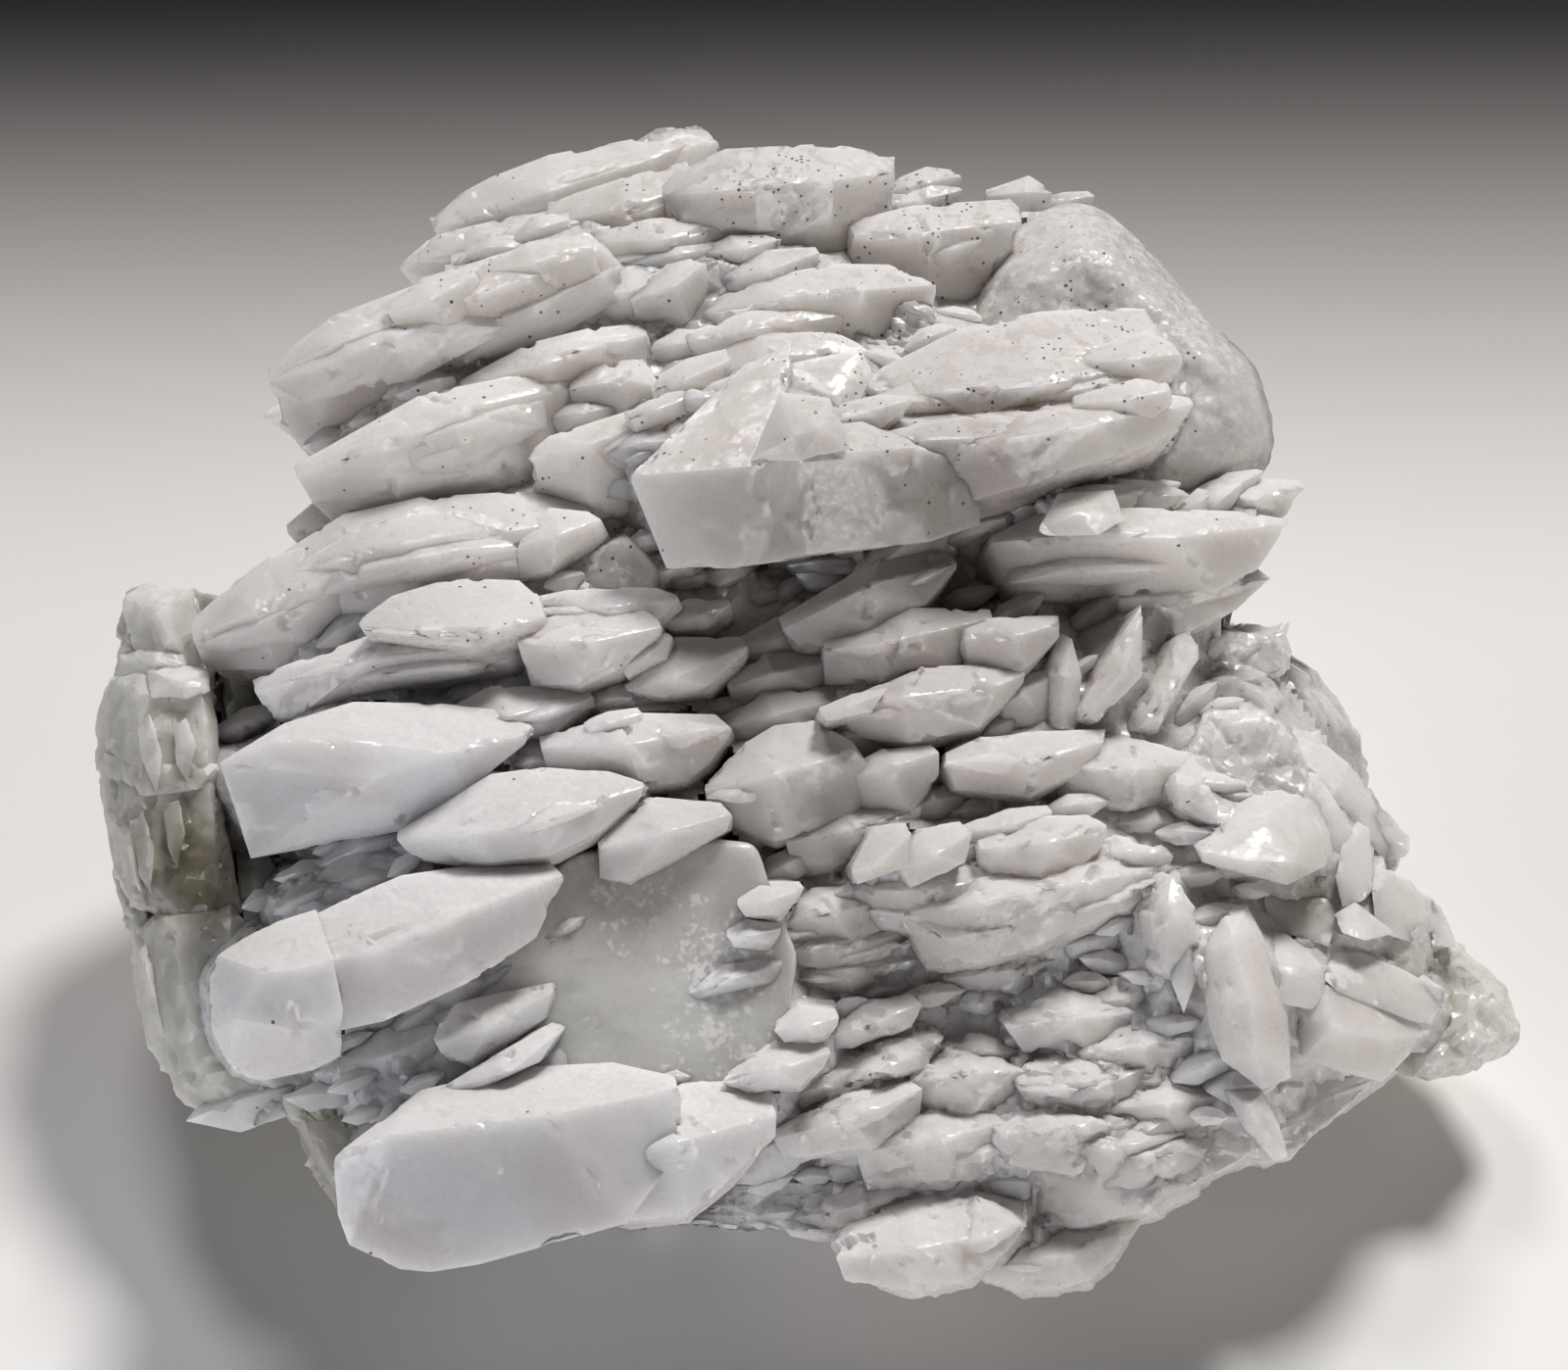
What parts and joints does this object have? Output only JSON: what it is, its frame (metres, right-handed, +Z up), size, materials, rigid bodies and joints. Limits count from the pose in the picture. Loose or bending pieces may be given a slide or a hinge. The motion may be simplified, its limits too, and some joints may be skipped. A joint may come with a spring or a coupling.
{
  "type": "poker chip calcite cluster",
  "caption": "Mineral specimen: flat, bevelled white calcite crystals stacked like spilled chips and grown on broken calcite, with a flat underside to rest on.",
  "frame": {"origin": "centre of the bounding box in X and Y, on the surface that the piece rests on", "axes": "+X along the length of the crystal face, to the right as it is seen; -Y towards the side that the crystals face; +Z up"},
  "size_m": [0.1234, 0.1007, 0.0582],
  "materials": {
    "calcite": "milky, translucent and waxy, with dull white dusting on the upper faces"
  },
  "bodies": {
    "root": {"calcite_cluster": "calcite"}
  },
  "joints": []
}
